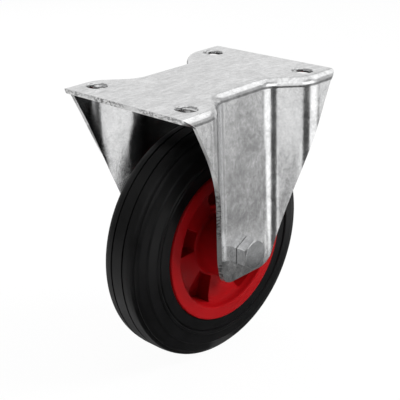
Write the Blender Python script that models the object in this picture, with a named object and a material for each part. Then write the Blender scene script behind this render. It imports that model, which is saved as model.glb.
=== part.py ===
"""Fixed castor, 160 mm: pressed steel fork, ribbed plastic rim, rubber tyre, roller bearing.

Metres, +Z up. The origin is the centre of the plate's top face, the face that is bolted on.
X is the rolling direction, the axle lies along Y and the bolt head is on the -Y side.
"""

import math

import bmesh
import bpy
from mathutils import Matrix, Vector

# Fork sheet and plate
SHEET = 0.003
PLATE_LENGTH = 0.1375
PLATE_WIDTH = 0.110
PLATE_CORNER = 0.006
EDGE_BEND = 0.0045
SLOT_SPACING_X = 0.105
SLOT_SPACING_Y = 0.078
SLOT_WIDTH = 0.011
SLOT_LENGTH = 0.014

# Legs, seen from above: a flat axle panel, a wing on each side of it, then a flange
WAIST_WIDTH = 0.072
PANEL_HALF = 0.0235
WING_ANGLE = math.radians(45)
WING_BEND = 0.016

# Legs as cut in the flat sheet: widening from the rounded foot up to the plate
AXLE_DROP = 0.1096
FOOT_BELOW_AXLE = 0.0164
FOOT_CORNER = 0.011
LEG_HALF_AT_AXLE = 0.0264
LEG_TAPER = 0.306
LEG_SPREAD = 0.90

# Wheel
TYRE_RADIUS = 0.080
TREAD_HALF = 0.0119
TREAD_GROOVE_AT = 0.0042
TREAD_GROOVE = 0.0012
SHOULDER_HALF = 0.0146
SIDEWALL_HALF = 0.0189
TYRE_HEIGHT = 0.028
RIM_HALF_WIDTH = 0.020
RIM_FLANGE = 0.0028
RIM_LIP = 0.0048
RIM_WALL = 0.0088
DISH_DEPTH = 0.0084
HUB_RADIUS = 0.0212
HUB_CLEARANCE = 0.003
SPOKES = 5
SPOKE_PHASE = math.radians(198)
SPOKE_HALF_ANGLE = math.radians(20)
WEB_HALF = 0.0025
POCKET_START = 0.10
POCKET_STOP = 0.925
POCKET_ROUNDING = 0.19

# Roller bearing and axle
SLEEVE_RADIUS = 0.010
ROLLER_RADIUS = 0.0024
ROLLERS = 10
CAGE_THICKNESS = 0.0026
CAGE_END = 0.0042
SEAL_WIDTH = 0.005
BOLT_RADIUS = 0.006
HEX_ACROSS = 0.019
HEX_TURN = 58
HEAD_HEIGHT = 0.0075
WASHER_RADIUS = 0.012
WASHER_THICKNESS = 0.0025
NUT_HEIGHT = 0.0095
NUT_COLLAR_RADIUS = 0.0088
NUT_COLLAR_HEIGHT = 0.0030
INSERT_RADIUS = 0.0076
INSERT_HEIGHT = 0.0020
THREAD_END = 0.0025

# Fits between the pieces
SEAT_GAP = 0.0003
RUN_GAP = 0.0005
CUT_MARGIN = 0.004

# Facets
BEND_STEPS = 6
WHEEL_SEGMENTS = 48
HUB_SEGMENTS = 28
SMALL_SEGMENTS = 10

# Sizes that follow from those above
RIM_RADIUS = TYRE_RADIUS - TYRE_HEIGHT
RIM_SEAT_RADIUS = RIM_RADIUS - RIM_LIP
RIM_INNER_RADIUS = RIM_RADIUS - RIM_WALL
DISH = RIM_INNER_RADIUS - HUB_RADIUS
POCKET_INNER = HUB_RADIUS + POCKET_START * DISH
POCKET_OUTER = HUB_RADIUS + POCKET_STOP * DISH
POCKET_CORNER = POCKET_ROUNDING * (POCKET_OUTER - POCKET_INNER)
HUB_HALF_WIDTH = WAIST_WIDTH / 2 - SHEET - HUB_CLEARANCE
HUB_BORE = SLEEVE_RADIUS + 2 * (ROLLER_RADIUS + SEAT_GAP)
PITCH_RADIUS = SLEEVE_RADIUS + SEAT_GAP + ROLLER_RADIUS
SEAL_RADIUS = HUB_BORE + 0.0024
SEAL_INNER_FACE = HUB_HALF_WIDTH - SEAL_WIDTH
CAGE_HALF = SEAL_INNER_FACE - RUN_GAP
ROLLER_LENGTH = 2 * (CAGE_HALF - CAGE_END - SEAT_GAP)
BOLT_HOLE = BOLT_RADIUS + SEAT_GAP
AXLE = Vector((0.0, 0.0, -AXLE_DROP))


# Materials and objects

def material(name, colour, roughness, metallic):
    mat = bpy.data.materials.new(name)
    mat.use_nodes = True
    shader = mat.node_tree.nodes["Principled BSDF"]
    shader.inputs["Base Color"].default_value = (*colour, 1.0)
    shader.inputs["Roughness"].default_value = roughness
    shader.inputs["Metallic"].default_value = metallic
    return mat


def add_object(name, bm, mat, place=Matrix.Identity(4)):
    """Make an object of a bmesh, its faces turned outward."""
    bmesh.ops.recalc_face_normals(bm, faces=bm.faces)
    mesh = bpy.data.meshes.new(name)
    bm.to_mesh(mesh)
    bm.free()
    obj = bpy.data.objects.new(name, mesh)
    obj.matrix_world = place
    bpy.context.collection.objects.link(obj)
    if mat is not None:
        mesh.materials.append(mat)
    return obj


def add_cutter(name, bm, place=Matrix.Identity(4)):
    obj = add_object(name, bm, None, place)
    obj.hide_render = True
    obj.display_type = "WIRE"
    return obj


def boolean(obj, tool, operation):
    mod = obj.modifiers.new(tool.name, "BOOLEAN")
    mod.operation = operation
    mod.object = tool
    mod.solver = "EXACT"


def smooth(obj, angle=32):
    for poly in obj.data.polygons:
        poly.use_smooth = True
    obj.data.set_sharp_from_angle(angle=math.radians(angle))


# Shapes

def prism(bm, outline, low, high, axis="Z"):
    """Close a prism on a plan outline; along Y the outline is read as (x, z)."""
    def point(u, v, w):
        return (u, w, v) if axis == "Y" else (u, v, w)
    bottom = [bm.verts.new(point(u, v, low)) for u, v in outline]
    top = [bm.verts.new(point(u, v, high)) for u, v in outline]
    bm.faces.new(bottom)
    bm.faces.new(top)
    count = len(outline)
    for i in range(count):
        k = (i + 1) % count
        bm.faces.new((bottom[i], bottom[k], top[k], top[i]))


def ring(bm, profile, segments, phase=0.0):
    """Turn a closed profile of (radius, y) points about the Y axis; radius 0 closes to one point."""
    rings = []
    for radius, y in profile:
        if radius == 0.0:
            rings.append([bm.verts.new((0.0, y, 0.0))] * segments)
            continue
        turn = []
        for i in range(segments):
            angle = phase + 2 * math.pi * i / segments
            turn.append(bm.verts.new((radius * math.cos(angle), y, radius * math.sin(angle))))
        rings.append(turn)
    count = len(profile)
    for j in range(count):
        a, b = rings[j], rings[(j + 1) % count]
        if a[0] is a[1] and b[0] is b[1]:
            continue
        for i in range(segments):
            k = (i + 1) % segments
            corners = []
            for vert in (a[i], a[k], b[k], b[i]):
                if vert not in corners:
                    corners.append(vert)
            bm.faces.new(corners)


def arc(centre, radius, start, end, steps):
    """Points of an arc in degrees, both ends included."""
    points = []
    for i in range(steps + 1):
        angle = math.radians(start + (end - start) * i / steps)
        points.append((centre[0] + radius * math.cos(angle), centre[1] + radius * math.sin(angle)))
    return points


def rounded_rectangle(half_u, half_v, radius, steps, centre=(0.0, 0.0)):
    points = []
    for start, su, sv in ((0, 1, 1), (90, -1, 1), (180, -1, -1), (270, 1, -1)):
        corner = (centre[0] + su * (half_u - radius), centre[1] + sv * (half_v - radius))
        points += arc(corner, radius, start, start + 90, steps)
    return points


def hexagon(across):
    """Outline of the bolt's hexagon, turned as the bolt happens to stand."""
    radius = across / math.sqrt(3)
    return [(radius * math.cos(math.radians(HEX_TURN + 60 * i)),
             radius * math.sin(math.radians(HEX_TURN + 60 * i))) for i in range(6)]


# Fork

FOOT_LEAN = math.atan(LEG_TAPER)
FOOT_CORNER_Z = -AXLE_DROP - FOOT_BELOW_AXLE + FOOT_CORNER
FOOT_CORNER_S = (LEG_HALF_AT_AXLE + LEG_TAPER * (FOOT_CORNER_Z + AXLE_DROP)
                 - FOOT_CORNER / math.cos(FOOT_LEAN))


def leg_edge(s):
    """Height of the leg's cut edge, s being the distance along the sheet from its middle."""
    if s <= FOOT_CORNER_S:
        return FOOT_CORNER_Z - FOOT_CORNER
    if s < FOOT_CORNER_S + FOOT_CORNER * math.cos(FOOT_LEAN):
        return FOOT_CORNER_Z - math.sqrt(FOOT_CORNER ** 2 - (s - FOOT_CORNER_S) ** 2)
    rise = math.sqrt(LEG_TAPER ** 2 + 4 * LEG_SPREAD * (s - LEG_HALF_AT_AXLE)) - LEG_TAPER
    return min(rise / (2 * LEG_SPREAD) - AXLE_DROP, -EDGE_BEND - SEAT_GAP)


def plan_path():
    """Stations along the outside of one leg from near the middle to the plate's end.

    Each is x, y, the outward direction there, and the distance along the sheet.
    """
    wide_bend = WING_BEND + SHEET
    panel_y = WAIST_WIDTH / 2
    flange_y = PLATE_WIDTH / 2
    wing_run = (flange_y - panel_y) / math.tan(WING_ANGLE)
    first_x = PANEL_HALF - WING_BEND * math.tan(WING_ANGLE / 2)
    second_x = PANEL_HALF + wing_run + wide_bend * math.tan(WING_ANGLE / 2)
    points = []
    for i in range(5):
        x = FOOT_CORNER_S + (first_x - FOOT_CORNER_S) * math.sin(math.pi / 2 * i / 5)
        points.append((x, panel_y, 0.0, 1.0))
    concave = []
    convex = []
    for i in range(BEND_STEPS + 1):
        a = WING_ANGLE * i / BEND_STEPS
        concave.append((first_x + WING_BEND * math.sin(a), panel_y + WING_BEND * (1 - math.cos(a)),
                        -math.sin(a), math.cos(a)))
        convex.append((second_x - wide_bend * math.sin(a), flange_y - wide_bend * (1 - math.cos(a)),
                       -math.sin(a), math.cos(a)))
    points += concave
    for i in range(1, 4):
        x, y = (concave[-1][k] + (convex[-1][k] - concave[-1][k]) * i / 4 for k in (0, 1))
        points.append((x, y, -math.sin(WING_ANGLE), math.cos(WING_ANGLE)))
    points += reversed(convex)
    for i in range(1, 7):
        x = second_x + (PLATE_LENGTH / 2 + CUT_MARGIN - second_x) * i / 6
        points.append((x, flange_y, 0.0, 1.0))
    stations = [(*points[0], points[0][0])]
    for before, after in zip(points, points[1:]):
        step = math.hypot(after[0] - before[0], after[1] - before[1])
        stations.append((*after, stations[-1][4] + step))
    return stations


def sheet_section(station, inward):
    """One section of the sheet, from the foot of the far leg over the plate to the near foot."""
    x, y, nx, ny, s = station
    radius = EDGE_BEND - inward
    side = [(x - nx * inward, y - ny * inward, leg_edge(s))]
    for i in range(BEND_STEPS + 1):
        a = math.pi / 2 * i / BEND_STEPS
        out = radius * math.cos(a) - EDGE_BEND
        side.append((x + nx * out, y + ny * out, radius * math.sin(a) - EDGE_BEND))
    return side + [(px, -py, pz) for px, py, pz in reversed(side)]


def build_fork(mat):
    half = plan_path()
    stations = [(-x, y, -nx, ny, s) for x, y, nx, ny, s in reversed(half)] + half
    bm = bmesh.new()
    outer = [[bm.verts.new(p) for p in sheet_section(s, 0.0)] for s in stations]
    inner = [[bm.verts.new(p) for p in sheet_section(s, SHEET)] for s in stations]
    rows, columns = len(outer), len(outer[0])
    for grid in (outer, inner):
        for i in range(rows - 1):
            for j in range(columns - 1):
                bm.faces.new((grid[i][j], grid[i + 1][j], grid[i + 1][j + 1], grid[i][j + 1]))
    for j in range(columns - 1):
        for i in (0, rows - 1):
            bm.faces.new((outer[i][j], outer[i][j + 1], inner[i][j + 1], inner[i][j]))
    for i in range(rows - 1):
        for j in (0, columns - 1):
            bm.faces.new((outer[i][j], outer[i + 1][j], inner[i + 1][j], inner[i][j]))
    fork = add_object("fork", bm, mat)

    bm = bmesh.new()
    outline = rounded_rectangle(PLATE_LENGTH / 2, PLATE_WIDTH / 2 + 0.0002, PLATE_CORNER, BEND_STEPS)
    prism(bm, outline, -AXLE_DROP - FOOT_BELOW_AXLE - CUT_MARGIN, CUT_MARGIN)
    boolean(fork, add_cutter("fork_corners", bm), "INTERSECT")

    bm = bmesh.new()
    for sx in (-1, 1):
        for sy in (-1, 1):
            centre = (sx * SLOT_SPACING_X / 2, sy * SLOT_SPACING_Y / 2)
            outline = rounded_rectangle(SLOT_WIDTH / 2, SLOT_LENGTH / 2, SLOT_WIDTH / 2 - 0.00001,
                                        BEND_STEPS, centre)
            prism(bm, outline, -SHEET - CUT_MARGIN, CUT_MARGIN)
    for side in (-1, 1):
        outline = [(x, z - AXLE_DROP) for x, z in arc((0, 0), BOLT_HOLE, 0, 350, 35)]
        faces = sorted((side * (WAIST_WIDTH / 2 + CUT_MARGIN),
                        side * (WAIST_WIDTH / 2 - SHEET - CUT_MARGIN)))
        prism(bm, outline, faces[0], faces[1], "Y")
    boolean(fork, add_cutter("fork_holes", bm), "DIFFERENCE")
    smooth(fork, 25)
    return fork


# Wheel

def mirrored(half_profile):
    """Close a profile from its +Y half, listed from the innermost point outward."""
    return half_profile + [(r, -y) for r, y in reversed(half_profile)]


def build_tyre(mat):
    seat = RIM_SEAT_RADIUS + SEAT_GAP
    bead = RIM_HALF_WIDTH - RIM_FLANGE - SEAT_GAP
    lip = RIM_RADIUS + SEAT_GAP
    groove_floor = TYRE_RADIUS - 0.0016

    def up(share):
        """Radius at a share of the way from the rim's lip to the tread."""
        return lip + share * (TYRE_RADIUS - lip)

    half = [
        (seat, bead),
        (lip, bead),
        (lip, SIDEWALL_HALF - 0.0002),
        (up(0.260), SIDEWALL_HALF - 0.0005),
        (up(0.290), SIDEWALL_HALF - 0.0011),
        (up(0.318), SIDEWALL_HALF),
        (up(0.361), SIDEWALL_HALF),
        (up(0.383), SIDEWALL_HALF - 0.0008),
        (up(0.621), SIDEWALL_HALF - 0.0017),
        (up(0.650), SIDEWALL_HALF - 0.0026),
        (up(0.776), SHOULDER_HALF + 0.0006),
        (up(0.841), SHOULDER_HALF),
        (up(0.890), TREAD_HALF + 0.0012),
        (up(0.928), TREAD_HALF + 0.0002),
        (up(0.975), TREAD_HALF - 0.0014),
        (TYRE_RADIUS, TREAD_GROOVE_AT + TREAD_GROOVE),
        (groove_floor, TREAD_GROOVE_AT + TREAD_GROOVE * 0.65),
        (groove_floor, TREAD_GROOVE_AT + TREAD_GROOVE * 0.35),
        (TYRE_RADIUS, TREAD_GROOVE_AT),
    ]
    bm = bmesh.new()
    ring(bm, mirrored(half), WHEEL_SEGMENTS)
    tyre = add_object("tyre", bm, mat, Matrix.Translation(AXLE))
    smooth(tyre)
    return tyre


def rim_profile():
    """The rim's solid before its pockets are cut: hub, dished web and tyre seat."""
    seat = SEAL_RADIUS + SEAT_GAP

    def dish(share, depth):
        """A point of the dish: its share of the way out from the hub, and of the full depth."""
        return (HUB_RADIUS + share * DISH, RIM_HALF_WIDTH - depth * DISH_DEPTH)

    half = [
        (HUB_BORE, SEAL_INNER_FACE - SEAT_GAP),
        (seat, SEAL_INNER_FACE - SEAT_GAP),
        (seat, HUB_HALF_WIDTH - 0.0006),
        (seat + 0.0006, HUB_HALF_WIDTH),
        (HUB_RADIUS - 0.0008, HUB_HALF_WIDTH),
        (HUB_RADIUS, HUB_HALF_WIDTH - 0.0008),
        dish(0.036, 0.86),
        dish(0.085, 1.0),
        dish(0.74, 0.86),
        dish(0.87, 0.69),
        dish(0.955, 0.43),
        dish(1.0, 0.14),
        (RIM_INNER_RADIUS + 0.0013, RIM_HALF_WIDTH),
        (RIM_RADIUS - 0.0010, RIM_HALF_WIDTH),
        (RIM_RADIUS, RIM_HALF_WIDTH - 0.0010),
        (RIM_RADIUS, RIM_HALF_WIDTH - RIM_FLANGE),
        (RIM_SEAT_RADIUS, RIM_HALF_WIDTH - RIM_FLANGE),
    ]
    return mirrored(half)


def pocket_outline():
    """A pocket seen along the axle, pointing along +X: a sector with rounded corners."""
    half_angle = math.pi / SPOKES - SPOKE_HALF_ANGLE
    outer_turn = half_angle - math.asin(POCKET_CORNER / (POCKET_OUTER - POCKET_CORNER))
    inner_turn = half_angle - math.asin(POCKET_CORNER / (POCKET_INNER + POCKET_CORNER))
    side = math.degrees(half_angle)
    points = []
    for radius, turn, start, end in (
            (POCKET_INNER + POCKET_CORNER, -inner_turn, 180 - math.degrees(inner_turn), 270 - side),
            (POCKET_OUTER - POCKET_CORNER, -outer_turn, -90 - side, -math.degrees(outer_turn)),
            (POCKET_OUTER - POCKET_CORNER, outer_turn, math.degrees(outer_turn), 90 + side),
            (POCKET_INNER + POCKET_CORNER, inner_turn, 90 + side, 180 + math.degrees(inner_turn))):
        centre = (radius * math.cos(turn), radius * math.sin(turn))
        points += arc(centre, POCKET_CORNER, start, end, 3)
    return points


def build_rim(mat):
    bm = bmesh.new()
    ring(bm, rim_profile(), WHEEL_SEGMENTS)
    rim = add_object("rim", bm, mat, Matrix.Translation(AXLE))
    bm = bmesh.new()
    for k in range(SPOKES):
        turn = SPOKE_PHASE + (k + 0.5) * 2 * math.pi / SPOKES
        cosine, sine = math.cos(turn), math.sin(turn)
        outline = [(u * cosine - v * sine, u * sine + v * cosine) for u, v in pocket_outline()]
        prism(bm, outline, WEB_HALF, HUB_HALF_WIDTH, "Y")
        prism(bm, outline, -HUB_HALF_WIDTH, -WEB_HALF, "Y")
    boolean(rim, add_cutter("rim_pockets", bm, Matrix.Translation(AXLE)), "DIFFERENCE")
    smooth(rim)
    return rim


def build_seals(mat):
    """The two dust seals pressed into the ends of the hub; they hold the cage in."""
    inner = SLEEVE_RADIUS + RUN_GAP
    face = HUB_HALF_WIDTH - SEAT_GAP
    profile = [
        (inner, SEAL_INNER_FACE + 0.0012),
        (inner + 0.0006, SEAL_INNER_FACE),
        (SEAL_RADIUS, SEAL_INNER_FACE),
        (SEAL_RADIUS, face - 0.0005),
        (SEAL_RADIUS - 0.0005, face),
        (inner + 0.0022, face),
        (inner + 0.0014, SEAL_INNER_FACE + 0.0026),
        (inner, SEAL_INNER_FACE + 0.0026),
    ]
    for name, side in (("seal_near", -1), ("seal_far", 1)):
        bm = bmesh.new()
        ring(bm, [(r, side * y) for r, y in profile], HUB_SEGMENTS)
        smooth(add_object(name, bm, mat, Matrix.Translation(AXLE)))


# Bearing and axle

def build_cage(mat):
    low = PITCH_RADIUS - CAGE_THICKNESS / 2
    high = PITCH_RADIUS + CAGE_THICKNESS / 2
    bm = bmesh.new()
    ring(bm, [(low, -CAGE_HALF), (high, -CAGE_HALF), (high, CAGE_HALF), (low, CAGE_HALF)],
         2 * ROLLERS, math.pi / (2 * ROLLERS))
    cage = add_object("cage", bm, mat, Matrix.Translation(AXLE))
    window = ROLLER_RADIUS + SEAT_GAP
    length = ROLLER_LENGTH / 2 + SEAT_GAP
    bm = bmesh.new()
    for k in range(ROLLERS):
        turn = 2 * math.pi * k / ROLLERS
        cosine, sine = math.cos(turn), math.sin(turn)
        outline = []
        for u, v in ((low - 0.002, -window), (high + 0.002, -window),
                     (high + 0.002, window), (low - 0.002, window)):
            outline.append((u * cosine - v * sine, u * sine + v * cosine))
        prism(bm, outline, -length, length, "Y")
    boolean(cage, add_cutter("cage_windows", bm, Matrix.Translation(AXLE)), "DIFFERENCE")
    smooth(cage)


def build_rollers(mat):
    half = ROLLER_LENGTH / 2
    bevel = ROLLER_RADIUS * 0.15
    for k in range(ROLLERS):
        turn = 2 * math.pi * k / ROLLERS
        bm = bmesh.new()
        ring(bm, [(0.0, -half), (ROLLER_RADIUS - bevel, -half), (ROLLER_RADIUS, -half + bevel),
                  (ROLLER_RADIUS, half - bevel), (ROLLER_RADIUS - bevel, half), (0.0, half)],
             SMALL_SEGMENTS)
        at = AXLE + Vector((PITCH_RADIUS * math.cos(turn), 0.0, PITCH_RADIUS * math.sin(turn)))
        smooth(add_object("roller_%02d" % (k + 1), bm, mat, Matrix.Translation(at)))


def build_sleeve(mat):
    half = WAIST_WIDTH / 2 - SHEET - SEAT_GAP
    bevel = 0.0006
    bm = bmesh.new()
    ring(bm, mirrored([(BOLT_HOLE, half - bevel), (BOLT_HOLE + bevel, half),
                       (SLEEVE_RADIUS - bevel, half), (SLEEVE_RADIUS, half - bevel)]), HUB_SEGMENTS)
    smooth(add_object("sleeve", bm, mat, Matrix.Translation(AXLE)))


def hex_blank(name, low, high, chamfer_low, chamfer_high, mat):
    """A hexagon with the turned chamfer of a bolt head or nut on the chosen ends."""
    bm = bmesh.new()
    prism(bm, hexagon(HEX_ACROSS), low, high, "Y")
    blank = add_object(name, bm, mat, Matrix.Translation(AXLE))
    corner = HEX_ACROSS / math.sqrt(3) + 0.0004
    flat = HEX_ACROSS / 2 * 0.96
    drop = (corner - flat) * math.tan(math.radians(30))
    start = low if chamfer_low else low - 0.002
    end = high if chamfer_high else high + 0.002
    profile = [(0.0, start), (flat if chamfer_low else corner, start), (corner, start + drop),
               (corner, end - drop), (flat if chamfer_high else corner, end), (0.0, end)]
    bm = bmesh.new()
    ring(bm, profile, HUB_SEGMENTS)
    boolean(blank, add_cutter(name + "_chamfer", bm, Matrix.Translation(AXLE)), "INTERSECT")
    return blank


def build_bolt(mat):
    face = -WAIST_WIDTH / 2 - SEAT_GAP
    end = (WAIST_WIDTH / 2 + 3 * SEAT_GAP + WASHER_THICKNESS + NUT_HEIGHT + NUT_COLLAR_HEIGHT
           + THREAD_END)
    bolt = hex_blank("bolt", face - HEAD_HEIGHT, face, True, False, mat)
    bevel = 0.0012
    bm = bmesh.new()
    ring(bm, [(0.0, face - 0.002), (BOLT_RADIUS, face - 0.002), (BOLT_RADIUS, end - bevel),
              (BOLT_RADIUS - bevel, end), (0.0, end)], HUB_SEGMENTS)
    boolean(bolt, add_cutter("bolt_shank", bm, Matrix.Translation(AXLE)), "UNION")
    smooth(bolt)


def build_washer(mat):
    low = WAIST_WIDTH / 2 + SEAT_GAP
    high = low + WASHER_THICKNESS
    bevel = 0.0004
    bm = bmesh.new()
    ring(bm, [(BOLT_HOLE, low), (WASHER_RADIUS, low), (WASHER_RADIUS, high - bevel),
              (WASHER_RADIUS - bevel, high), (BOLT_HOLE, high)], HUB_SEGMENTS)
    smooth(add_object("washer", bm, mat, Matrix.Translation(AXLE)))


def build_nut(steel, nylon):
    """Locking nut: hexagon, round collar, and the nylon ring held under the collar's rim."""
    low = WAIST_WIDTH / 2 + 2 * SEAT_GAP + WASHER_THICKNESS
    shoulder = low + NUT_HEIGHT
    top = shoulder + NUT_COLLAR_HEIGHT
    nut = hex_blank("nut", low, shoulder, True, True, steel)
    bm = bmesh.new()
    ring(bm, [(0.0, shoulder - 0.003), (NUT_COLLAR_RADIUS, shoulder - 0.003),
              (NUT_COLLAR_RADIUS, top - 0.0010), (NUT_COLLAR_RADIUS - 0.0010, top), (0.0, top)],
         HUB_SEGMENTS)
    boolean(nut, add_cutter("nut_collar", bm, Matrix.Translation(AXLE)), "UNION")
    floor = shoulder
    ceiling = floor + INSERT_HEIGHT + 2 * SEAT_GAP
    recess = INSERT_RADIUS + SEAT_GAP
    bm = bmesh.new()
    ring(bm, [(0.0, low - CUT_MARGIN), (BOLT_HOLE, low - CUT_MARGIN), (BOLT_HOLE, floor),
              (recess, floor), (recess, ceiling), (BOLT_HOLE + 0.0006, ceiling),
              (BOLT_HOLE + 0.0006, top + CUT_MARGIN), (0.0, top + CUT_MARGIN)], HUB_SEGMENTS)
    boolean(nut, add_cutter("nut_bore", bm, Matrix.Translation(AXLE)), "DIFFERENCE")
    smooth(nut)

    bm = bmesh.new()
    ring(bm, [(BOLT_HOLE, floor + SEAT_GAP), (INSERT_RADIUS, floor + SEAT_GAP),
              (INSERT_RADIUS, floor + SEAT_GAP + INSERT_HEIGHT),
              (BOLT_HOLE, floor + SEAT_GAP + INSERT_HEIGHT)], HUB_SEGMENTS)
    smooth(add_object("nut_insert", bm, nylon, Matrix.Translation(AXLE)))


def main():
    for obj in list(bpy.data.objects):
        bpy.data.objects.remove(obj, do_unlink=True)
    zinc = material("zinc plate", (0.62, 0.63, 0.64), 0.32, 1.0)
    red = material("red polypropylene", (0.48, 0.010, 0.014), 0.38, 0.0)
    rubber = material("black rubber", (0.018, 0.018, 0.019), 0.62, 0.0)
    steel = material("bright steel", (0.66, 0.66, 0.67), 0.22, 1.0)
    bolt_zinc = material("zinc bolt", (0.60, 0.61, 0.62), 0.30, 1.0)
    seal = material("black plastic", (0.03, 0.03, 0.032), 0.5, 0.0)
    cage = material("grey nylon", (0.55, 0.55, 0.52), 0.5, 0.0)
    nylon = material("white nylon", (0.80, 0.80, 0.76), 0.45, 0.0)
    build_fork(zinc)
    build_tyre(rubber)
    build_rim(red)
    build_seals(seal)
    build_cage(cage)
    build_rollers(steel)
    build_sleeve(steel)
    build_bolt(bolt_zinc)
    build_washer(bolt_zinc)
    build_nut(bolt_zinc, nylon)


main()
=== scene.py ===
"""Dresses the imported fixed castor: smooth pieces, procedural finishes, a plain studio, a camera.

Metres, +Z up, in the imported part's own frame: the plate's top face is at z = 0 and the axle lies
along Y, with the bolt's head on the -Y side.
"""

import math

import bmesh
import bpy
from bpy.props import FloatProperty, FloatVectorProperty, IntProperty, PointerProperty
from mathutils import Matrix, Quaternion, Vector


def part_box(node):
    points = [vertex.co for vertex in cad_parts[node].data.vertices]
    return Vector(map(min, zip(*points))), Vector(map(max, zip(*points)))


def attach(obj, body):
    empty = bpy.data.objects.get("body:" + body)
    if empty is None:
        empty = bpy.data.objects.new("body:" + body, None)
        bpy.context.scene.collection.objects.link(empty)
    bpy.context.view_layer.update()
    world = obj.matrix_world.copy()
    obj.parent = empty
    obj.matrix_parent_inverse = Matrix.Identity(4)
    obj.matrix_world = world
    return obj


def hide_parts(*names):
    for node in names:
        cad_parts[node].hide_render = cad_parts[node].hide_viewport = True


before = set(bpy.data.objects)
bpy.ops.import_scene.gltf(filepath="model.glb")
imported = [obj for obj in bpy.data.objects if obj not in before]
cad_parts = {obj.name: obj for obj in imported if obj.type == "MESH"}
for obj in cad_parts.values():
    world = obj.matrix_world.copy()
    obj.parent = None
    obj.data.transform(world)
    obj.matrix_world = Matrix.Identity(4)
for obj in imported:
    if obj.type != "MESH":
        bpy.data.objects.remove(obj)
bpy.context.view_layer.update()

bl_info = {
    "name": "Fixed castor",
    "version": (1, 0, 0),
    "blender": (4, 5, 0),
    "location": "3D View > Sidebar > Castor",
    "description": "Builds the smooth pieces and finishes of a fixed castor around its solids",
    "category": "Object",
}

FORK_LOW, FORK_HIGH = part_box("fork")
TYRE_LOW, TYRE_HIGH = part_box("tyre")
RIM_LOW, RIM_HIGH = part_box("rim")
BOLT_LOW, BOLT_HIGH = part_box("bolt")
WASHER_LOW, WASHER_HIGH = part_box("washer")
NUT_LOW, NUT_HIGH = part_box("nut")
INSERT_LOW, INSERT_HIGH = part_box("nut_insert")
SEAL_LOW, SEAL_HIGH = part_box("seal_far")
SLEEVE_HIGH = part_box("sleeve")[1]
AXLE = Vector((0.0, 0.0, (TYRE_LOW.z + TYRE_HIGH.z) / 2))
FULL_TURN = 2 * math.pi
GAP = 0.0003            # between pieces that touch
THREAD_DEPTH = 0.6      # of the pitch


# Sizes and colours

def length(name, description, default):
    """A length that the sidebar shows in the scene's units."""
    return FloatProperty(name=name, description=description, default=default, min=0.0, precision=5,
                         unit="LENGTH")


def angle(name, description, degrees):
    """An angle that the sidebar shows in degrees."""
    return FloatProperty(name=name, description=description, default=math.radians(degrees),
                         subtype="ANGLE")


def number(name, description, default, unit="NONE"):
    """A plain number."""
    return FloatProperty(name=name, description=description, default=default, unit=unit)


def colour(name, description, default):
    """A linear colour."""
    return FloatVectorProperty(name=name, description=description, default=default, size=3,
                               min=0.0, max=1.0, subtype="COLOR")


class ForkSizes(bpy.types.PropertyGroup):
    sheet: length("Sheet", "Thickness of the pressed sheet", 0.003)
    plate_length: length("Plate length", "Plate along the rolling direction",
                         FORK_HIGH.x - FORK_LOW.x)
    plate_width: length("Plate width", "Plate along the axle", FORK_HIGH.y - FORK_LOW.y)
    plate_corner: length("Plate corner", "Rounding of the plate's corners", 0.006)
    edge_bend: length("Edge bend", "Outer radius of the bend from plate to leg", 0.006)
    slot_spacing_x: length("Slot spacing along", "Between slot centres, rolling direction", 0.105)
    slot_spacing_y: length("Slot spacing across", "Between slot centres, along the axle", 0.078)
    slot_width: length("Slot width", "Width of a mounting slot", 0.011)
    slot_length: length("Slot length", "End to end length of a mounting slot", 0.014)
    waist: length("Waist", "Width over the two axle panels", 0.072)
    panel_half: length("Panel half", "Half width of the flat axle panel", 0.0235)
    wing_angle: angle("Wing angle", "Turn of the wings out of the panel", 45)
    wing_bend: length("Wing bend", "Outer radius of the bend from panel to wing", 0.016)
    foot_drop: length("Foot drop", "Foot below the axle", AXLE.z - FORK_LOW.z)
    foot_corner: length("Foot corner", "Rounding of the foot's corners", 0.011)
    half_at_axle: length("Half at axle", "Half width of the leg at the axle", 0.0264)
    taper: number("Taper", "Widening of the leg just above the axle", 0.306)
    spread: number("Spread", "Extra widening with height, per metre", 0.90)
    deburr: length("Deburr", "Rounding of the cut edges", 0.0007)
    bolt_hole: length("Bolt hole", "Radius of the axle bolt's hole", 0.0063)


class WheelSizes(bpy.types.PropertyGroup):
    radius: length("Wheel radius", "Tread radius", (TYRE_HIGH.x - TYRE_LOW.x) / 2)
    sidewall_half: length("Sidewall half", "Half width of the tyre", TYRE_HIGH.y)
    shoulder_half: length("Shoulder half", "Half width at the shoulder", 0.0146)
    tread_half: length("Tread half", "Half width of the tread", 0.0119)
    groove_at: length("Groove at", "Near side of a tread groove from the middle", 0.0042)
    groove_width: length("Groove width", "Width of a tread groove", 0.0012)
    groove_depth: length("Groove depth", "Depth of a tread groove", 0.0016)
    rim_radius: length("Rim radius", "Outer radius of the rim's flange",
                       (RIM_HIGH.x - RIM_LOW.x) / 2)
    rim_half: length("Rim half width", "Half width over the flanges", 0.020)
    flange: length("Flange", "Thickness of the flange", 0.0028)
    seat_depth: length("Seat depth", "Tyre seat below the flange", 0.0048)
    rim_wall: length("Rim wall", "Radial width of the flange's face", 0.0088)
    dish: length("Dish", "Depth of the spokes below the flange", 0.0084)
    hub_half: length("Hub half", "Half width of the hub", RIM_HIGH.y)
    hub_radius: length("Hub radius", "Outer radius of the hub", 0.0212)
    web_half: length("Web half", "Half thickness of the web between the pockets", 0.0025)
    spokes: IntProperty(name="Spokes", description="Number of spokes", default=5, min=3)
    spoke_phase: angle("Spoke phase", "Turn of the first spoke from +X", 198)
    spoke_half: angle("Spoke half angle", "Half of a spoke's angle", 20)
    pocket_corner: length("Pocket corner", "Rounding of the pocket's corners", 0.0034)
    gap: length("Seat gap", "Gap between pieces that touch", GAP)


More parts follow.
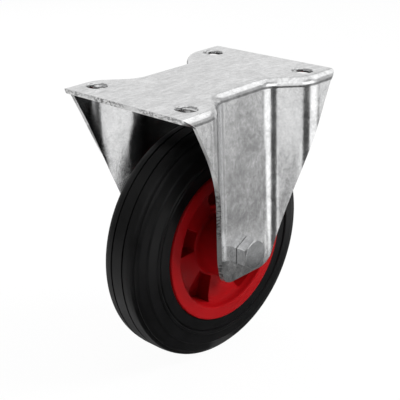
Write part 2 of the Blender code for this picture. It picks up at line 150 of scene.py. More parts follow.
class AxleSizes(bpy.types.PropertyGroup):
    bolt_radius: length("Bolt radius", "Radius of the bolt's shank", 0.006)
    across: length("Across flats", "Hexagon of the bolt and nut", 0.019)
    turn: angle("Hexagon turn", "How the hexagons happen to stand", 58)
    head_height: length("Head height", "Height of the bolt's head", 0.0075)
    pitch: length("Pitch", "Thread pitch", 0.00175)
    thread_length: length("Thread length", "Length of the cut thread", 0.024)
    nut_height: length("Nut height", "Height of the nut's hexagon", 0.0095)
    collar: length("Collar radius", "Radius of the locking nut's collar", 0.0088)
    washer_radius: length("Washer radius", "Outer radius of the washer", WASHER_HIGH.x)
    hole: length("Hole radius", "Radius of the holes the bolt goes through", 0.0063)
    seal_radius: length("Seal radius", "Outer radius of a dust seal", SEAL_HIGH.x)
    sleeve_radius: length("Sleeve radius", "Outer radius of the spacer sleeve", SLEEVE_HIGH.x)


class Finishes(bpy.types.PropertyGroup):
    zinc: colour("Zinc", "Plated sheet", (0.60, 0.602, 0.605))
    cut_edge: colour("Cut edge", "Sheared edge of the sheet", (0.55, 0.55, 0.55))
    bolt_zinc: colour("Bolt zinc", "Plated bolt, nut and washer", (0.78, 0.785, 0.79))
    # The head's face is the bolt's zinc made darker: painted shade. The face's own duller finish is
    # only its rougher dints.
    head_face_painted_shade: colour("Head face", "Duller forged face of the bolt's head", (0.37, 0.375, 0.38))
    bright_steel: colour("Bright steel", "Ground sleeve and rollers", (0.66, 0.66, 0.67))
    rubber: colour("Rubber", "Black rubber", (0.0036, 0.0036, 0.0039))
    red: colour("Red plastic", "Moulded rim", (0.30, 0.003, 0.005))
    seal: colour("Seal plastic", "Dust seals", (0.02, 0.02, 0.021))
    cage: colour("Cage nylon", "Roller cage", (0.55, 0.54, 0.50))
    insert: colour("Insert nylon", "Locking ring of the nut", (0.78, 0.78, 0.74))


class StudioSizes(bpy.types.PropertyGroup):
    azimuth: angle("Azimuth", "Camera turn about +Z", -45.299)
    elevation: angle("Elevation", "Camera above the horizon", 22.572)
    roll: angle("Roll", "Camera roll", -1.925)
    camera_at: FloatVectorProperty(name="Camera at", description="Place of the camera",
                                   default=(-0.4220, -0.4130, 0.1625), size=3, unit="LENGTH",
                                   precision=5)
    lens: number("Lens", "Focal length in millimetres", 87.08, "CAMERA")
    floor: colour("Floor", "Floor and backdrop", (0.90, 0.90, 0.90))


# Shapes

def add_object(name, data):
    """Put an object with the given data into the scene."""
    obj = bpy.data.objects.new(name, data)
    bpy.context.scene.collection.objects.link(obj)
    return obj


def add_mesh(name, bm):
    """Put a mesh object into the scene, made of a bmesh, which is freed."""
    mesh = bpy.data.meshes.new(name)
    bm.to_mesh(mesh)
    bm.free()
    return add_object(name, mesh)


def finish_mesh(name, bm, finishes, body, node, sharp=35):
    """Make the piece of a bmesh, put it on its body and let it stand for its node."""
    piece = add_mesh(name, bm)
    mesh = piece.data
    if not mesh.polygons:
        raise RuntimeError(f"{name} came out empty")
    mesh.shade_smooth()
    mesh.set_sharp_from_angle(angle=math.radians(sharp))
    for kind in finishes:
        mesh.materials.append(finish(kind))
    normals = piece.modifiers.new("even normals", "WEIGHTED_NORMAL")
    normals.keep_sharp = True
    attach(piece, body)
    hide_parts(node)


def round_edges(bm, edges, width, segments=3):
    """Round edges off, and return the new faces."""
    return bmesh.ops.bevel(bm, geom=edges, offset=width, segments=segments, profile=0.5,
                           affect="EDGES", material=-1, clamp_overlap=True)["faces"]


def combine(bm, tools, operation):
    """Cut or join with other bmeshes by the exact Boolean, and return the result."""
    objects = []
    for source in [bm] + tools:
        bmesh.ops.recalc_face_normals(source, faces=source.faces)
        objects.append(add_mesh("working", source))
    for tool in objects[1:]:
        mod = objects[0].modifiers.new("cut", "BOOLEAN")
        mod.operation = operation
        mod.object = tool
        mod.solver = "EXACT"
    depsgraph = bpy.context.evaluated_depsgraph_get()
    result = bmesh.new()
    result.from_mesh(objects[0].evaluated_get(depsgraph).to_mesh())
    for obj in objects:
        mesh = obj.data
        bpy.data.objects.remove(obj)
        bpy.data.meshes.remove(mesh)
    return result


def lathe(profile, segments, axis="Y", closed=True):
    """Spin a profile about an axis. Each corner is (radius, distance along, rounding)."""
    bm = bmesh.new()
    verts = [bm.verts.new((radius, along, 0.0)) for radius, along, _ in profile]
    ends = verts[1:] + verts[:1] if closed else verts[1:]
    for start, end in zip(verts, ends):
        bm.edges.new((start, end))
    for rounding in sorted({corner[2] for corner in profile} - {0.0}):
        corners = [v for v, corner in zip(verts, profile) if corner[2] == rounding]
        bmesh.ops.bevel(bm, geom=corners, offset=rounding, segments=3, profile=0.5,
                        affect="VERTICES", material=-1, clamp_overlap=True)
    bmesh.ops.rotate(bm, verts=bm.verts, matrix=Matrix.Rotation(math.pi / segments, 3, "Y"))
    bmesh.ops.spin(bm, geom=bm.verts[:] + bm.edges[:], cent=(0, 0, 0), axis=(0, 1, 0),
                   angle=FULL_TURN, steps=segments, use_merge=True)
    bmesh.ops.remove_doubles(bm, verts=bm.verts, dist=1e-6)
    bmesh.ops.recalc_face_normals(bm, faces=bm.faces)
    if axis == "Z":
        bmesh.ops.rotate(bm, verts=bm.verts, matrix=Matrix.Rotation(math.pi / 2, 3, "X"))
    return bm


def shaped_grid(columns, rows, place):
    """A sheet of quads, with a vertex wherever place puts a column's crossing with a row."""
    bm = bmesh.new()
    bmesh.ops.create_grid(bm, x_segments=len(columns) - 1, y_segments=len(rows) - 1, size=1.0)
    bm.verts.ensure_lookup_table()
    for j, row in enumerate(rows):
        for i, column in enumerate(columns):
            bm.verts[j * len(columns) + i].co = place(column, row)
    return bm


def turned(profile, segments, closed=True):
    """Spin a profile about the axle."""
    bm = lathe(profile, segments, "Y", closed)
    bmesh.ops.translate(bm, verts=bm.verts, vec=AXLE)
    return bm


def both_sides(half):
    """Close a profile from its +Y half, listed from the innermost corner outward."""
    return half + [(radius, -y, rounding) for radius, y, rounding in reversed(half)]


def punch(radius, mouth, sheet):
    """A round punch for a sheet from 0 down to -sheet, whose mouths are eased at both faces."""
    down = [(0.0, mouth * 1.1, 0.0), (radius + mouth * 1.8, mouth * 1.1, 0.0),
            (radius + mouth * 0.3, -mouth * 0.4, 0.0), (radius, -mouth, 0.0)]
    profile = down + [(r, -sheet - h, 0.0) for r, h, _ in reversed(down)]
    return lathe(profile, 48, "Z", closed=False)


def slot_punch(x, y, width, total, mouth, sheet):
    """A slotted punch: the round one with its halves drawn apart along Y."""
    bm = punch(width / 2, mouth, sheet)
    for vert in bm.verts:
        if abs(vert.co.y) > 1e-7:
            vert.co.y += math.copysign((total - width) / 2, vert.co.y)
    bmesh.ops.translate(bm, verts=bm.verts, vec=(x, y, 0))
    return bm


# Fork

def foot_corner_at(p):
    """Distance along the sheet at which the rounding of the foot's corner starts."""
    lean = math.atan(p.taper)
    return (p.half_at_axle + p.taper * (p.foot_corner - p.foot_drop)
            - p.foot_corner / math.cos(lean))


def leg_edge(p, s):
    """Height of a leg's cut edge, s being the distance along the sheet from its middle."""
    foot = AXLE.z - p.foot_drop
    corner_s = foot_corner_at(p)
    if s <= corner_s:
        return foot
    if s < corner_s + p.foot_corner * math.cos(math.atan(p.taper)):
        return foot + p.foot_corner - math.sqrt(p.foot_corner ** 2 - (s - corner_s) ** 2)
    rise = math.sqrt(p.taper ** 2 + 4 * p.spread * (s - p.half_at_axle)) - p.taper
    return min(rise / (2 * p.spread) + AXLE.z, -p.edge_bend)


BEND_STEPS = 14
MOUTH_EASING = 1.4      # rounding of the holes' mouths against that of the cut edges
END_CROWDING = 1.3      # over 1, the flange's stations crowd toward the plate's end


def half_stations(p):
    """Stations along half of a side of the sheet: x, y, outward x, outward y, distance, share.

    The share counts from 0 at the flange's start to 1 at the plate's end.
    """
    wide = p.wing_bend + p.sheet
    panel_y, flange_y = p.waist / 2, p.plate_width / 2
    run = (flange_y - panel_y) / math.tan(p.wing_angle)
    first = p.panel_half - p.wing_bend * math.tan(p.wing_angle / 2)
    second = p.panel_half + run + wide * math.tan(p.wing_angle / 2)
    corner_s = foot_corner_at(p)
    panel_x = [first * t for t in (0.0, 0.3, 0.6) if first * t < corner_s - 0.001]
    panel_x += [corner_s + (first - corner_s) * i / 8 for i in range(8)]
    points = [(x, panel_y, 0.0, 1.0, 0.0) for x in panel_x]
    concave, convex = [], []
    for i in range(BEND_STEPS + 1):
        a = p.wing_angle * i / BEND_STEPS
        across, along = math.sin(a), math.cos(a)
        concave.append((first + p.wing_bend * across, panel_y + p.wing_bend * (1 - along),
                        -across, along, 0.0))
        convex.append((second - wide * across, flange_y - wide * (1 - along),
                       -across, along, 0.0))
    points += concave
    start, stop = concave[-1], convex[-1]
    for i in range(1, 12):
        x, y = (start[k] + (stop[k] - start[k]) * i / 12 for k in (0, 1))
        points.append((x, y, *start[2:]))
    points += reversed(convex)
    for i in range(1, BEND_STEPS + 1):
        t = 1 - (1 - i / BEND_STEPS) ** END_CROWDING
        points.append((second + (p.plate_length / 2 - second) * t, flange_y, 0.0, 1.0, t))
    stations = []
    distance = 0.0
    for before, point in zip(points[:1] + points, points):
        distance += math.dist(before[:2], point[:2])
        stations.append((*point[:4], distance, point[4]))
    return stations, second


def fork_mesh(p):
    """The pressed sheet: a grid bent to its stations, given its thickness, deburred and punched."""
    half, flange_x = half_stations(p)
    flange_s = next(s for x, y, nx, ny, s, share in half if x >= flange_x - 1e-9)
    top = -AXLE.z - p.edge_bend         # height of the legs' top over the axle
    leg_end_x = flange_x + p.half_at_axle + p.taper * top + p.spread * top * top - flange_s
    square = p.plate_width / 2 - p.plate_corner

    def end_x(y):
        """Plate's end at a distance y from its middle line: square, then a rounded corner."""
        if abs(y) <= square:
            return p.plate_length / 2
        turn = min((abs(y) - square) / p.plate_corner, 1.0)
        return leg_end_x + (p.plate_length / 2 - leg_end_x) * math.sqrt(1 - turn * turn)

    rows = [("leg", 0.0)]
    rows += [("bend", math.pi / 2 * i / 12) for i in range(13)]
    rows += [("plate", t) for t in (0.06, 0.3, 0.65)]
    rows = ([(-1, kind, t) for kind, t in rows] + [(1, "plate", 1.0)]
            + [(1, kind, t) for kind, t in reversed(rows)])
    columns = ([(-1, station) for station in reversed(half[1:])]
               + [(1, station) for station in half])

    def place(column, row):
        """Where a station of the sheet lies in a row: on the leg, in the bend or on the plate."""
        end, (x, y, nx, ny, s, share) = column
        side, kind, t = row
        inward = {"leg": 0.0, "bend": 1 - math.cos(t), "plate": 1.0}[kind] * p.edge_bend
        px, py = x - nx * inward, y - ny * inward
        if kind == "plate":
            py *= 1 - t
        if share:
            px = flange_x + share * (end_x(py) - flange_x)
        height = 0.0
        if kind == "bend":
            height = p.edge_bend * (math.sin(t) - 1)
        if kind == "leg":
            height = leg_edge(p, s if not share else flange_s + px - flange_x)
        return (end * px, side * py, height)

    bm = shaped_grid(columns, rows, place)
    bmesh.ops.remove_doubles(bm, verts=bm.verts, dist=2e-5)
    bm.normal_update()
    bmesh.ops.solidify(bm, geom=bm.faces[:], thickness=p.sheet)
    bm.normal_update()
    cut = [e for e in bm.edges if len(e.link_faces) == 2 and e.calc_face_angle() > math.radians(50)]
    sharp = set(cut)
    # The faces between two sharp edges are the sheet's cut, and take the second material.
    for face in bm.faces:
        face.material_index = int(sum(edge in sharp for edge in face.edges) >= 2)
    for face in round_edges(bm, cut, p.deburr):
        face.material_index = 0

    mouth = p.deburr * MOUTH_EASING
    punches = [slot_punch(x * p.slot_spacing_x / 2, y * p.slot_spacing_y / 2,
                          p.slot_width, p.slot_length, mouth, p.sheet)
               for x in (-1, 1) for y in (-1, 1)]
    for side in (-1, 1):
        hole = punch(p.bolt_hole, mouth, p.sheet)
        bmesh.ops.rotate(hole, verts=hole.verts,
                         matrix=Matrix.Rotation(-side * math.pi / 2, 3, "X"))
        bmesh.ops.translate(hole, verts=hole.verts, vec=AXLE + Vector((0, side * p.waist / 2, 0)))
        punches.append(hole)
    return combine(bm, punches, "DIFFERENCE")


# Wheel

def tyre_mesh(p):
    """The tyre, spun from its seat over the raised rings of the sidewall to the tread grooves."""
    top = p.radius
    seat = p.rim_radius - p.seat_depth + p.gap
    lip = p.rim_radius + p.gap
    bead = p.rim_half - p.flange - p.gap
    face = p.sidewall_half
    half = [
        (seat, bead, 0.0),
        (lip, bead, 0.0),
        (lip, face - 0.0002, 0.0004),
        (lip + 0.0072, face - 0.0005, 0.0003),
        (lip + 0.0078, face - 0.0011, 0.0002),
        (lip + 0.0084, face - 0.0011, 0.0002),
        (lip + 0.0088, face, 0.0002),
        (lip + 0.0100, face, 0.0002),
        (lip + 0.0106, face - 0.0008, 0.0003),
        (lip + 0.0172, face - 0.0017, 0.0004),
        (lip + 0.0180, face - 0.0026, 0.0003),
        (top - 0.0062, p.shoulder_half + 0.0006, 0.0009),
        (top - 0.0044, p.shoulder_half, 0.0009),
        (top - 0.0030, p.tread_half + 0.0014, 0.0002),
        (top - 0.0031, p.tread_half + 0.0006, 0.0002),
        (top - 0.0020, p.tread_half + 0.0002, 0.0004),
        (top - 0.0009, p.tread_half - 0.0008, 0.0004),
        (top - 0.0003, p.tread_half - 0.0030, 0.0009),
        (top, p.groove_at + p.groove_width, 0.0002),
        (top - p.groove_depth, p.groove_at + p.groove_width * 0.65, 0.0002),
        (top - p.groove_depth, p.groove_at + p.groove_width * 0.35, 0.0002),
        (top, p.groove_at, 0.0002),
    ]
    return turned(both_sides(half), 180)


POCKET_DRAFT = 0.955    # size of a pocket's floor against its mouth
POCKET_MOUTH_ROUNDING = 0.0006
POCKET_FLOOR_ROUNDING = 0.0010


def rim_profile(p, axle):
    """The rim's +Y half from its bore outward, as (radius, y), and the pockets' two radii."""
    inner = p.rim_radius - p.rim_wall
    span = inner - p.hub_radius
    seat = axle.seal_radius + p.gap
    seal_face = SEAL_LOW.y - p.gap
    bore = axle.seal_radius - 0.0024

    def dish(share, depth):
        return (p.hub_radius + share * span, p.rim_half - depth * p.dish)

    pocket_start, pocket_end = dish(0.10, 1.0), dish(0.925, 0.60)
    profile = [
        (bore, 0.0), (bore, seal_face), (seat, seal_face), (seat, p.hub_half - 0.0006),
        (seat + 0.0002, p.hub_half - 0.0002), (seat + 0.0006, p.hub_half),
        (p.hub_radius - 0.0009, p.hub_half), (p.hub_radius - 0.0003, p.hub_half - 0.0003),
        (p.hub_radius, p.hub_half - 0.0009), dish(0.02, 0.74), dish(0.034, 0.90),
        dish(0.06, 0.98), pocket_start, dish(0.30, 0.985), dish(0.52, 0.945), dish(0.74, 0.86),
        dish(0.84, 0.77), pocket_end, dish(0.965, 0.42), dish(0.99, 0.24), dish(1.0, 0.12),
        (inner + 0.0003, p.rim_half - 0.0004), (inner + 0.0010, p.rim_half),
        (p.rim_radius - 0.0012, p.rim_half), (p.rim_radius - 0.0004, p.rim_half - 0.0003),
        (p.rim_radius, p.rim_half - 0.0011), (p.rim_radius, p.rim_half - p.flange),
        (p.rim_radius - p.seat_depth, p.rim_half - p.flange), (p.rim_radius - p.seat_depth, 0.0),
    ]
    return profile, pocket_start[0], pocket_end[0]


def rim_sector(p, axle):
    """One spoke-to-spoke sector of the rim's +Y half, with its pocket pressed in."""
    profile, inner_r, outer_r = rim_profile(p, axle)
    half_sector = math.pi / p.spokes
    half_pocket = half_sector - p.spoke_half
    angles = [-half_sector + p.spoke_half * i / 7 for i in range(7)]
    angles += [-half_pocket + 2 * half_pocket * i / 10 for i in range(10)]
    angles += [half_pocket + p.spoke_half * i / 7 for i in range(8)]
    bm = shaped_grid(angles, profile,
                     lambda a, at: (at[0] * math.cos(a), at[1], at[0] * math.sin(a)))

    def is_pocket(face):
        """Whether a face lies over the pocket, on the dish between hub and flange."""
        x, y, z = face.calc_center_median()
        return (inner_r < math.hypot(x, z) < outer_r and abs(math.atan2(z, x)) < half_pocket
                and p.web_half < y < min(p.rim_half, p.hub_half))

    pocket = [face for face in bm.faces if is_pocket(face)]
    floor = bmesh.ops.extrude_face_region(bm, geom=pocket)["geom"]
    middle = (inner_r + outer_r) / 2
    for vert in (v for v in floor if isinstance(v, bmesh.types.BMVert)):
        vert.co.x = middle + (vert.co.x - middle) * POCKET_DRAFT
        vert.co.z *= POCKET_DRAFT
        vert.co.y = p.web_half
    bmesh.ops.delete(bm, geom=[f for f in pocket if f.is_valid], context="FACES")

    def on_floor(vert):
        return abs(vert.co.y - p.web_half) < 1e-5

    def pocket_walls():
        """Faces that stand between the pocket's floor and the spokes."""
        bm.normal_update()
        return {f for f in bm.faces if abs(f.normal.y) < 0.35 and any(map(on_floor, f.verts))}

    walls = pocket_walls()
    corners = [e for e in bm.edges if len(e.link_faces) == 2 and walls.issuperset(e.link_faces)
               and e.calc_face_angle() > math.radians(40)]
    round_edges(bm, corners, p.pocket_corner, 5)
    walls = pocket_walls()
    border = [e for e in bm.edges if len(e.link_faces) == 2
              and sum(f in walls for f in e.link_faces) == 1]
    foot = [e for e in border if all(map(on_floor, e.verts))]
    round_edges(bm, [e for e in border if e not in foot], POCKET_MOUTH_ROUNDING)
    round_edges(bm, [e for e in foot if e.is_valid], POCKET_FLOOR_ROUNDING)
    bmesh.ops.dissolve_degenerate(bm, edges=bm.edges, dist=8e-5)
    bmesh.ops.rotate(bm, verts=bm.verts,
                     matrix=Matrix.Rotation(-(p.spoke_phase + half_sector), 3, "Y"))
    return bm


def rim_mesh(p, axle):
    """The whole rim: its sector repeated round the hub, then mirrored to the far side."""
    bm = rim_sector(p, axle)
    turns = p.spokes - 1
    bmesh.ops.spin(bm, geom=bm.verts[:] + bm.edges[:] + bm.faces[:], cent=(0, 0, 0),
                   axis=(0, 1, 0), angle=FULL_TURN * turns / p.spokes, steps=turns,
                   use_duplicate=True)
    bmesh.ops.remove_doubles(bm, verts=bm.verts, dist=2e-6)
    bmesh.ops.mirror(bm, geom=bm.verts[:] + bm.edges[:] + bm.faces[:], merge_dist=2e-6, axis="Y")
    bmesh.ops.remove_doubles(bm, verts=bm.verts, dist=2e-6)
    bmesh.ops.recalc_face_normals(bm, faces=bm.faces)
    bmesh.ops.translate(bm, verts=bm.verts, vec=AXLE)
    return bm


def seal_mesh(axle, side):
    """A dust seal with a groove in its face and a lip toward the sleeve."""
    inner = axle.sleeve_radius + 0.0005
    low, high, out = SEAL_LOW.y, SEAL_HIGH.y, axle.seal_radius
    profile = [(inner, low + 0.0012, 0.0002), (inner + 0.0006, low, 0.0), (out, low, 0.0002),
               (out, high, 0.0005), (out - 0.0018, high, 0.0002),
               (out - 0.0022, high - 0.0005, 0.0002), (out - 0.0030, high - 0.0005, 0.0002),
               (out - 0.0034, high, 0.0002),
               (inner + 0.0022, high, 0.0004), (inner + 0.0014, low + 0.0026, 0.0004),
               (inner, low + 0.0026, 0.0002)]
    return turned([(radius, side * y, r) for radius, y, r in profile], 96)


# Bolt, nut and washer

HEX_ROUNDING = 0.0004
BOLT_SHARP = 28         # edges that turn by more degrees stay sharp
CHAMFER = math.radians(30)
CHAMFER_RING = 0.955    # of half the width across the flats


def hexagon(across, turn, low, high):
    """A hexagonal bar along the axle with softened corners."""
    bm = bmesh.new()
    bmesh.ops.create_circle(bm, cap_ends=True, segments=6, radius=across / math.sqrt(3))
    bottom = bm.faces[:]
    top = bmesh.ops.extrude_face_region(bm, geom=bottom, use_keep_orig=True)["geom"]
    bmesh.ops.translate(bm, verts=[v for v in top if isinstance(v, bmesh.types.BMVert)],
                        vec=(0, 0, high - low))
    sides = [e for e in bm.edges if abs(e.verts[0].co.z - e.verts[1].co.z) > 1e-4]
    round_edges(bm, sides, HEX_ROUNDING)
    bmesh.ops.rotate(bm, verts=bm.verts, matrix=Matrix.Rotation(-math.pi / 2, 3, "X"))
    bmesh.ops.rotate(bm, verts=bm.verts, matrix=Matrix.Rotation(-turn, 3, "Y"))
    bmesh.ops.translate(bm, verts=bm.verts, vec=AXLE + Vector((0, low, 0)))
    return bm


def chamfered_hexagon(p, low, high, outline):
    """A hexagonal bar trimmed by a turned outline, which gives it its chamfers."""
    return combine(hexagon(p.across, p.turn, low, high), [turned(outline, 96, closed=False)],
                   "INTERSECT")


def chamfer_sizes(p):
    """Radius beyond the hexagon's corners, radius of the chamfer's ring, its height."""
    corner = p.across / math.sqrt(3) + 0.0004
    ring = p.across / 2 * CHAMFER_RING
    return corner, ring, (corner - ring) * math.tan(CHAMFER)


def thread_ridge(radius, pitch, low, high):
    """The ridge of a thread: a triangle spun up the bolt, its root sunk into the core."""
    steps = 40
    turns = (high - low) / pitch - 1
    bm = bmesh.new()
    core = radius - THREAD_DEPTH * pitch
    corners = [(core - 0.0002, low), (radius - 0.00005, low + 0.40 * pitch),
               (radius - 0.00005, low + 0.52 * pitch), (core - 0.0002, low + 0.92 * pitch)]
    face = bm.faces.new([bm.verts.new((x, y, 0.0)) for x, y in corners])
    bmesh.ops.spin(bm, geom=[face], cent=(0, 0, 0), axis=(0, -1, 0), angle=FULL_TURN * turns,
                   steps=round(turns * steps), dvec=(0, pitch / steps, 0))
    bmesh.ops.recalc_face_normals(bm, faces=bm.faces)
    bmesh.ops.translate(bm, verts=bm.verts, vec=AXLE)
    return bm


def bolt_mesh(p):
    """The bolt: chamfered head, shank and thread, the head's face in the second material, a darker
    copy of the zinc that paints shade on the face.
    """
    face = BOLT_LOW.y + p.head_height
    end = BOLT_HIGH.y
    core = p.bolt_radius - THREAD_DEPTH * p.pitch
    start = end - p.thread_length
    shank = [(0.0, face - 0.003, 0.0), (p.bolt_radius, face - 0.003, 0.0),
             (p.bolt_radius, start, 0.0002), (core, start + 0.001, 0.0002),
             (core, end - 0.0006, 0.0002), (core - 0.0006, end, 0.0002), (0.0, end, 0.0)]
    corner, ring, drop = chamfer_sizes(p)
    head = chamfered_hexagon(p, BOLT_LOW.y - 0.001, face, [
        (0.0, BOLT_LOW.y, 0.0), (ring, BOLT_LOW.y, 0.00015), (corner, BOLT_LOW.y + drop, 0.0),
        (corner, face + 0.001, 0.0), (0.0, face + 0.001, 0.0)])
    bolt = combine(head, [turned(shank, 80, closed=False)], "UNION")
    ridge = thread_ridge(p.bolt_radius, p.pitch, start + 0.0004, end - 0.0002)
    bolt = combine(bolt, [ridge], "UNION")
    bolt.normal_update()
    # The head's face, which looks along -Y, takes the darker copy of the zinc: painted shade.
    for facet in bolt.faces:
        if facet.normal.y < -0.95 and facet.calc_center_median().y < BOLT_LOW.y + 0.0002:
            facet.material_index = 1
    return bolt


def washer_mesh(p):
    """A flat washer, its edges rounded more on the side that was punched."""
    low, high = WASHER_LOW.y, WASHER_HIGH.y
    return turned([(p.hole, low, 0.0002), (p.washer_radius, low, 0.0003),
                   (p.washer_radius, high, 0.0005), (p.hole, high, 0.0003)], 96)


def nut_mesh(p):
    """The locking nut: chamfered hexagon, round collar and the groove for its nylon ring."""
    low, top = NUT_LOW.y, NUT_HIGH.y
    shoulder = low + p.nut_height
    insert = INSERT_HIGH.x + GAP
    ceiling = INSERT_HIGH.y + GAP
    corner, ring, drop = chamfer_sizes(p)
    body = chamfered_hexagon(p, low - 0.001, top + 0.001, [
        (0.0, low, 0.0), (ring, low, 0.00015), (corner, low + drop, 0.0),
        (corner, shoulder - drop, 0.0), (ring, shoulder, 0.00015), (p.collar, shoulder, 0.0),
        (p.collar, top, 0.0012), (0.0, top, 0.0)])
    bore = turned([(0.0, low - 0.004, 0.0), (p.hole + 0.0006, low - 0.004, 0.0),
                   (p.hole + 0.0006, low + 0.0002, 0.0), (p.hole, low + 0.0008, 0.0),
                   (p.hole, INSERT_LOW.y - 0.0002, 0.0), (insert, INSERT_LOW.y - 0.0002, 0.0),
                   (insert, ceiling, 0.0), (p.hole + 0.0006, ceiling, 0.0),
                   (p.hole + 0.0009, top + 0.004, 0.0), (0.0, top + 0.004, 0.0)], 96, closed=False)
    return combine(body, [bore], "DIFFERENCE")


# Finishes

class Nodes:
    """Short calls for building a node tree."""

    def __init__(self, name):
        self.material = bpy.data.materials.new(name)
        self.material.use_nodes = True
        self.tree = self.material.node_tree
        self.shader = self.tree.nodes["Principled BSDF"]
        self.coords = self.tree.nodes.new("ShaderNodeTexCoord").outputs["Object"]

    def add(self, kind, **inputs):
        """A new node with its inputs filled in."""
        node = self.tree.nodes.new("ShaderNode" + kind)
        self.fill(node, inputs)
        return node

    def fill(self, node, inputs):
        for key, value in inputs.items():
            self.feed(node.inputs[key.replace("_", " ")], value)

    def feed(self, socket, value):
        if isinstance(value, bpy.types.NodeSocket):
            self.tree.links.new(value, socket)
        else:
            socket.default_value = value

    def noise(self, scale, detail=4.0, rough=0.55, stretch=(1, 1, 1), distortion=0.0):
        mapping = self.add("Mapping", Vector=self.coords, Scale=stretch)
        node = self.add("TexNoise", Vector=mapping.outputs["Vector"], Scale=scale,
                        Detail=detail, Roughness=rough, Distortion=distortion)
        return node.outputs["Fac"]

    def ramp(self, value, low, high, out_low=0.0, out_high=1.0):
        node = self.add("MapRange")
        self.feed(node.inputs["Value"], value)
        for key, bound in (("From Min", low), ("From Max", high), ("To Min", out_low),
                           ("To Max", out_high)):
            node.inputs[key].default_value = bound
        return node.outputs["Result"]

    def math(self, operation, a, b=0.0):
        node = self.add("Math")
        node.operation = operation
        self.feed(node.inputs[0], a)
        self.feed(node.inputs[1], b)
        return node.outputs["Value"]

    def blend(self, *shares):
        """Sum of values, each given with its weight."""
        total, *others = (self.math("MULTIPLY", value, weight) for value, weight in shares)
        for value in others:
            total = self.math("ADD", total, value)
        return total

    def mix(self, factor, a, b):
        node = self.add("Mix")
        node.data_type = "RGBA"
        self.feed(node.inputs["Factor"], factor)
        for index, value in ((6, a), (7, b)):
            if not isinstance(value, bpy.types.NodeSocket):
                value = (*value, 1.0)
            self.feed(node.inputs[index], value)
        return node.outputs[2]

    def bump(self, height, distance, strength=1.0, under=None):
        node = self.add("Bump", Height=height, Distance=distance, Strength=strength)
        if under is not None:
            self.feed(node.inputs["Normal"], under)
        return node.outputs["Normal"]

    def finish(self, base, rough, normal, **others):
        """The material, once its colour, roughness, bumps and other inputs are in the shader."""
        self.fill(self.shader, {"Base_Color": base, "Roughness": rough, "Normal": normal, **others})
        return self.material


def tint(rgb, factor):
    """A colour made darker or lighter."""
    return tuple(min(1.0, c * factor) for c in rgb)


def zinc_sheet(n, rgb):
    """Plated sheet: cloudy grey, faintly rolled along X, with a frosty grain and scuffs."""
    cloud = n.noise(48, 5, 0.62, (1, 1, 0.7), 1.6)
    streak = n.noise(70, 5, 0.62, (0.45, 1.8, 0.5), 1.8)
    blotch = n.noise(330, 4, 0.7, (1, 1, 0.8), 0.5)
    grain = n.noise(1500, 3, 0.6)
    shade = n.blend((cloud, 0.27), (streak, 0.24), (blotch, 0.33), (grain, 0.16))
    base = n.mix(n.ramp(shade, 0.41, 0.59), tint(rgb, 0.74), tint(rgb, 1.20))
    rough = n.ramp(n.blend((cloud, 0.5), (blotch, 0.5)), 0.35, 0.65, 0.14, 0.26)
    normal = n.bump(streak, 0.0004, 0.20)
    normal = n.bump(blotch, 0.00004, 0.6, normal)
    normal = n.bump(grain, 0.00001, 0.5, normal)
    return n.finish(base, rough, normal, Metallic=1.0)


def sheared_edge(n, rgb):
    """Cut edge of the sheet under its plating: burnished, and torn in short dashes in places."""
    tears = n.noise(420, 3, 0.6, (1, 1, 1.6), 0.4)
    places = n.noise(28, 2, 0.5)
    pits = n.noise(1300, 3, 0.6)
    torn = n.math("MULTIPLY", n.ramp(tears, 0.46, 0.56), n.ramp(places, 0.40, 0.54))
    base = n.mix(torn, tint(rgb, 1.35), tint(rgb, 0.35))
    base = n.mix(n.ramp(pits, 0.35, 0.65, 0.0, 0.25), base, tint(rgb, 0.8))
    normal = n.bump(torn, 0.00015, 0.5)
    normal = n.bump(pits, 0.00004, 0.6, normal)
    return n.finish(base, n.ramp(pits, 0.35, 0.65, 0.26, 0.42), normal, Metallic=1.0)


def zinc_bolt(n, rgb, dint_scale, depth):
    """Plated bolt, washer and nut: smooth, with small dints from the forging."""
    dints = n.noise(dint_scale, 3, 0.6)
    cloud = n.noise(220, 4, 0.6)
    base = n.mix(n.ramp(cloud, 0.35, 0.65), tint(rgb, 0.88), tint(rgb, 1.12))
    return n.finish(base, n.ramp(dints, 0.3, 0.7, 0.12, 0.24), n.bump(dints, depth, 0.5),
                    Metallic=1.0)


def ground_steel(n, rgb):
    """Ground steel: fine rings around the axle."""
    rings = n.noise(60, 3, 0.6, (1, 60, 1))
    cloud = n.noise(300, 3)
    base = n.mix(n.ramp(cloud, 0.35, 0.65), tint(rgb, 0.9), tint(rgb, 1.06))
    return n.finish(base, n.ramp(rings, 0.3, 0.7, 0.14, 0.28), n.bump(rings, 0.00002, 0.5),
                    Metallic=1.0)


def rubber(n, rgb):
    """Moulded rubber: satin, faintly clouded, with rings left by the turned mould."""
    centred = n.add("Mapping", Vector=n.coords, Location=-AXLE)
    split = n.add("SeparateXYZ", Vector=centred.outputs["Vector"])
    x, y, z = (split.outputs[i] for i in range(3))
    radius = n.math("SQRT", n.blend((x, x), (z, z)))
    rings = n.math("SINE", n.math("MULTIPLY", n.math("ADD", radius, n.math("MULTIPLY", y, 1.7)),
                                  9000.0))
    cloud = n.noise(60, 5, 0.6)
    grain = n.noise(1500, 3, 0.6)
    base = n.mix(n.ramp(cloud, 0.32, 0.68), tint(rgb, 0.75), tint(rgb, 1.5))
    rough = n.ramp(n.blend((cloud, 0.6), (grain, 0.4)), 0.35, 0.65, 0.30, 0.48)
    normal = n.bump(rings, 0.000006, 0.5)
    normal = n.bump(grain, 0.00005, 0.5, normal)
    return n.finish(base, rough, normal, Specular_IOR_Level=0.15)


